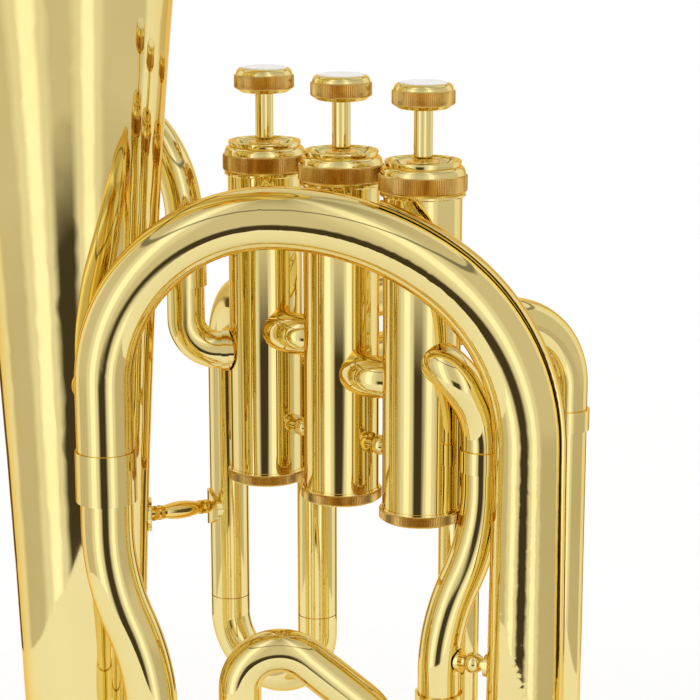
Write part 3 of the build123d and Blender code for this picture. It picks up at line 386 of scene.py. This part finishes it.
def make_buttons():
    """Finger buttons: a knurled band between a lower lip and a round shoulder, and the pearl's seat."""
    stem_bore, stem_depth = 0.00302, 0.0036
    hub, hub_edge = 0.0062, 0.0078
    band, shoulder, ledge = 0.0010, 0.0020, 0.0006
    seat_depth, seat_clearance, centre_bore = 0.0015, 0.00002, 0.0005
    for number, centre in enumerate(centres, 1):
        radius, foot, top = disc_size(f"button_{number}")
        seat_r = disc_size(f"finger_pearl_{number}")[0] + seat_clearance
        shoulder_z, stem_top = top - shoulder, foot + stem_depth
        profile = smooth_points([(stem_bore, stem_top), (stem_bore, foot), (hub, foot)])
        profile += smooth_points([(hub_edge, foot + 0.0003), (radius - 0.0017, foot + 0.0006)])
        profile += smooth_points([(radius - 0.0012, foot + band), (radius - 0.0005, foot + band + 0.0005)])
        profile += ridged_points([(radius - 0.0002, foot + band + 0.0007), (radius, foot + band + 0.0010)])
        profile += ridged_points([(radius, (foot + top) / 2), (radius, shoulder_z - 0.0005)])
        profile += ridged_points([(radius - 0.0002, shoulder_z - 0.0002)])
        profile += smooth_points([(radius - ledge, shoulder_z)])
        profile += smooth_points(shoulder_curve(radius - ledge, shoulder_z, 0.0015, shoulder))
        profile += smooth_points([(seat_r + 0.0004, top), (seat_r, top - 0.0002), (seat_r, top - seat_depth)])
        profile += smooth_points([(centre_bore, top - seat_depth), (centre_bore, stem_top)])
        turned_piece(f"button_{number}_turned", f"button_{number}", [centre], profile, BUTTON_RIDGES)


def make_pearls():
    """Pearls with a round edge and a shallow dish."""
    dish, edge, centre_r, dish_steps = 0.00035, 0.0005, 0.0003, 6
    for number, centre in enumerate(centres, 1):
        node = f"finger_pearl_{number}"
        radius, foot, top = disc_size(node)
        profile = smooth_points([(centre_r, foot), (radius, foot)] + rounded_top(radius, top, edge))
        for step in range(1, dish_steps + 1):
            reach = radius * (1 - step / (dish_steps + 1))
            profile.append((reach, top - dish * sin(pi / 2 * step / dish_steps), SMOOTH))
        profile.append((centre_r, top - dish, SMOOTH))
        turned_piece(f"{node}_dished", node, [centre], profile, BUTTON_RIDGES)


def make_top_caps():
    """Top caps: knurled wall, round shoulder, raised lip, and a bowl around the boss that guides the stem."""
    low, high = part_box("top_caps")
    foot, top = low[2], high[2]
    radius, skirt, bore, boss = 0.0141, 0.01255, 0.0031, 0.0052
    knurl_low, knurl_high = foot + 0.0016, foot + 0.0069
    ceiling = foot + 0.0054
    ledge = 0.0006
    lip, lip_r = 0.0005, radius - 0.0019
    bowl_start, bowl_end = radius - 0.0035, boss + 0.0011
    bowl_drop, bowl_depth, bowl_steps = 0.0009, 0.0025, 8
    boss_edge, boss_drop = 0.0003, 0.0004
    profile = smooth_points([(skirt, foot), (radius - 0.0008, foot), (radius - 0.0005, foot + 0.0003)])
    profile += smooth_points([(radius - 0.0005, foot + 0.0009), (radius - 0.0009, foot + 0.0012)])
    profile += ridged_points([(radius - 0.0003, knurl_low), (radius, knurl_low + 0.0004)])
    profile += ridged_points([(radius, (knurl_low + knurl_high) / 2), (radius, knurl_high - 0.0004)])
    profile += ridged_points([(radius - 0.0003, knurl_high)])
    profile += smooth_points([(radius - ledge, knurl_high + 0.0002)])
    profile += smooth_points(shoulder_curve(radius - ledge, knurl_high + 0.0003, 0.0016, 0.0024))
    profile += smooth_points(rounded_top(lip_r, top, lip))
    profile += smooth_points([(radius - 0.0029, top - 0.0001), (radius - 0.0033, top - 0.0005)])
    for step in range(bowl_steps + 1):
        share = step / bowl_steps
        fall = bowl_depth * sin(pi / 2 * share) ** 1.2
        reach = bowl_start + (bowl_end - bowl_start) * share
        profile.append((reach, top - bowl_drop - fall, SMOOTH))
    profile += smooth_points([(boss + 0.0005, top - 0.0034), (boss, top - 0.0029)])
    profile += smooth_points(rounded_top(boss, top - boss_drop, boss_edge, 4))
    profile += smooth_points([(bore + 0.0002, top - 0.0004), (bore, top - 0.0006)])
    profile += smooth_points([(bore, ceiling), (skirt, ceiling)])
    turned_piece("top_caps_turned", "top_caps", centres, profile, CAP_RIDGES)


def make_bottom_caps():
    """Bottom caps: a dished foot with a vent, a knurled wall and the spigot inside the casing."""
    low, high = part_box("bottom_caps")
    foot, top = low[2], high[2]
    radius, spigot, vent = 0.0135, 0.01045, 0.0020
    seam, floor, spigot_wall, seam_inset = foot + 0.0048, foot + 0.0018, 0.0011, 0.0007
    profile = smooth_points([(vent, foot), (radius - 0.0042, foot), (radius - 0.0020, foot + 0.0001)])
    profile += smooth_points([(radius - 0.0009, foot + 0.0004)])
    profile += ridged_points([(radius - 0.0004, foot + 0.0008), (radius, foot + 0.0011)])
    profile += ridged_points([(radius, foot + 0.0024), (radius, seam - 0.0011)])
    profile += ridged_points([(radius - 0.0004, seam - 0.0008)])
    profile += smooth_points([(radius - seam_inset, seam - 0.0006), (radius - seam_inset, seam)])
    profile += smooth_points([(spigot, seam), (spigot, top), (spigot - spigot_wall, top)])
    profile += smooth_points([(spigot - spigot_wall, floor), (vent, floor)])
    turned_piece("bottom_caps_turned", "bottom_caps", centres, profile, CAP_RIDGES)


def make_felts():
    """Felt washers: the lower one on the piston, the upper one tucked under the button."""
    lower_height, upper_height, upper_rim, edge, stem_clearance = 0.0027, 0.0003, 0.0004, 0.0001, 0.0002
    for number, centre in enumerate(centres, 1):
        lower_r, foot, top = disc_size(f"valve_felts_{number}")
        stem_r = disc_size(f"valve_stem_{number}")[0] + stem_clearance
        washers = ((lower_r, foot, foot + lower_height), (stem_r + upper_rim, top - upper_height, top))
        shape = bmesh.new()
        for radius, low, high in washers:
            rim = rounded_foot(radius, low, edge) + rounded_top(radius, high, edge)
            outline = smooth_points([(stem_r, low)] + rim + [(stem_r, high)])
            turned_solid(shape, centre, outline, BUTTON_RIDGES)
        finish_turned(shape, f"valve_felts_{number}_pressed", f"valve_felts_{number}")


def make_springs():
    """Valve springs, copied from the CAD nodes in spring steel."""
    for number, (x, y) in enumerate(centres, 1):
        node, joint = f"valve_spring_{number}", f"valve_{number}_press"
        mesh = frame["nodes"][node].data.copy()
        mesh.materials.clear()
        spring = finished_piece(f"{node}_wound", mesh, node, [finishes["spring_steel"]])
        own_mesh(spring)


centres = casing_centres(3)
make_buttons()
make_pearls()
make_top_caps()
make_bottom_caps()
make_felts()
make_springs()
turned = {"top_caps", "bottom_caps", "button_1", "button_2", "button_3"}
for node, slot in slots.items():
    if slot == "lacquered_brass" and node not in turned:
        polish(node)


# Stage --------------------------------------------------------------------------------------------
FLOOR_HALF_SIZE, FLOOR_GAP = 30, 0.0005


def make_floor():
    """Plain pale floor just under the bottom bow."""
    mesh = bpy.data.meshes.new("floor")
    shape = bmesh.new()
    bmesh.ops.create_grid(shape, x_segments=1, y_segments=1, size=FLOOR_HALF_SIZE)
    shape.to_mesh(mesh)
    shape.free()
    floor = bpy.data.objects.new("floor", mesh)
    scene.collection.objects.link(floor)
    floor.location = (0, 0, cad_box[0][2] - FLOOR_GAP)
    material, nodes, _ = new_material("floor_paint")
    shader = nodes["Principled BSDF"]
    shader.inputs["Base Color"].default_value = (0.93, 0.93, 0.925, 1)
    shader.inputs["Roughness"].default_value = 0.9
    mesh.materials.append(material)


# Light tent that only glossy reflections see: (reach, height) of its wall and roof, from the floor up
TENT_PROFILE = ((0.45, 0.002), (0.62, 0.06), (0.66, 0.55), (0.60, 0.85), (0.42, 1.10), (0.001, 1.20))
TENT_STEPS = 96
# Panels by azimuth from the camera's side, with their brightness: (start, end, level)
PANELS = (
    (-180, -152, 0.90), (-148, -138, 0.12), (-134, -108, 0.96), (-100, -70, 0.64), (-61, -55, 0.90),
    (-49, -37, 1.28), (-31, -26, 0.88), (-18, 2, 0.06), (11, 15, 0.88), (20, 29, 1.24), (34, 39, 0.88),
    (47, 100, 0.60), (107, 136, 0.96), (140, 152, 0.12), (156, 180, 0.90),
)
# Above this height the panels are never darker than the upper level
LOW_PANEL_TOP_Z, PANEL_EDGE, UPPER_LEVEL = 0.130, 0.03, 0.70
# Brightness by share of the tent's height, with a thin seam where the roof starts
ROOF = ((0.60, 1.0), (0.62, 0.35), (0.655, 0.35), (0.67, 1.0), (0.90, 0.85), (0.97, 0.6))
# Sockets of a Mix node that mixes colours
MIX_FIRST, MIX_SECOND, MIX_RESULT = 6, 7, 2


def make_tent():
    shape = bmesh.new()
    turns = [2 * pi * step / TENT_STEPS for step in range(TENT_STEPS)]
    rings = []
    for reach, height in TENT_PROFILE:
        rings.append([shape.verts.new((reach * cos(a), reach * sin(a), height)) for a in turns])
    for below, above in zip(rings, rings[1:]):
        join_rings(shape, below, above)
    mesh = bpy.data.meshes.new("light_tent")
    shape.to_mesh(mesh)
    shape.free()
    tent = bpy.data.objects.new("light_tent", mesh)
    scene.collection.objects.link(tent)
    tent.rotation_euler = (0, 0, radians(CAMERA_AZIMUTH))
    tent.visible_camera = tent.visible_diffuse = tent.visible_shadow = False
    tent.visible_transmission = tent.visible_volume_scatter = False
    mesh.materials.append(tent_fabric())


def warm(level):
    """Tent fabric's colour at that brightness: the darker it is, the browner."""
    share = min(level, 1.0)
    return (level, level * (0.80 + 0.20 * share), level * (0.50 + 0.50 * share))


def mix_colors(nodes, links, first, second, blend_type="MIX", factor=None):
    node = nodes.new("ShaderNodeMix")
    node.data_type, node.blend_type = "RGBA", blend_type
    if factor is None:
        node.inputs["Factor"].default_value = 1.0
    else:
        links.new(factor, node.inputs["Factor"])
    links.new(first, node.inputs[MIX_FIRST])
    links.new(second, node.inputs[MIX_SECOND])
    return node.outputs[MIX_RESULT]


def tent_fabric():
    """Glowing panels round the wall, darker near the floor, under a paler roof."""
    material, nodes, links = new_material("tent_fabric")
    nodes.remove(nodes["Principled BSDF"])
    place = nodes.new("ShaderNodeTexCoord")
    axes = nodes.new("ShaderNodeSeparateXYZ")
    links.new(place.outputs["Object"], axes.inputs["Vector"])
    angle = nodes.new("ShaderNodeMath")
    angle.operation = "ARCTAN2"
    links.new(axes.outputs["Y"], angle.inputs[0])
    links.new(axes.outputs["X"], angle.inputs[1])
    turn = share_between(nodes, links, angle.outputs[0], -pi, pi)
    stops = [((edge + 180) / 360, level) for start, end, level in PANELS for edge in (start, end)]
    panels = ramp(nodes, links, turn, [(position, warm(level)) for position, level in stops])
    upper_stops = [(position, warm(max(level, UPPER_LEVEL))) for position, level in stops]
    upper = ramp(nodes, links, turn, upper_stops)
    lift_start, lift_end = LOW_PANEL_TOP_Z - PANEL_EDGE, LOW_PANEL_TOP_Z + PANEL_EDGE
    lift = share_between(nodes, links, axes.outputs["Z"], lift_start, lift_end)
    wall = mix_colors(nodes, links, panels, upper, factor=lift)
    height = share_between(nodes, links, axes.outputs["Z"], 0, TENT_PROFILE[-1][1])
    roof = ramp(nodes, links, height, ROOF)
    emission = nodes.new("ShaderNodeEmission")
    links.new(mix_colors(nodes, links, wall, roof, "MULTIPLY"), emission.inputs["Color"])
    links.new(emission.outputs["Emission"], nodes["Material Output"].inputs["Surface"])
    return material


def make_world():
    """Even white light from all round."""
    world = bpy.data.worlds.new("studio")
    scene.world = world
    world.use_nodes = True
    background = world.node_tree.nodes["Background"]
    background.inputs["Color"].default_value = (1, 1, 1, 1)
    background.inputs["Strength"].default_value = 1.08
    scene.view_settings.view_transform = "Standard"


make_floor()
make_tent()
make_world()
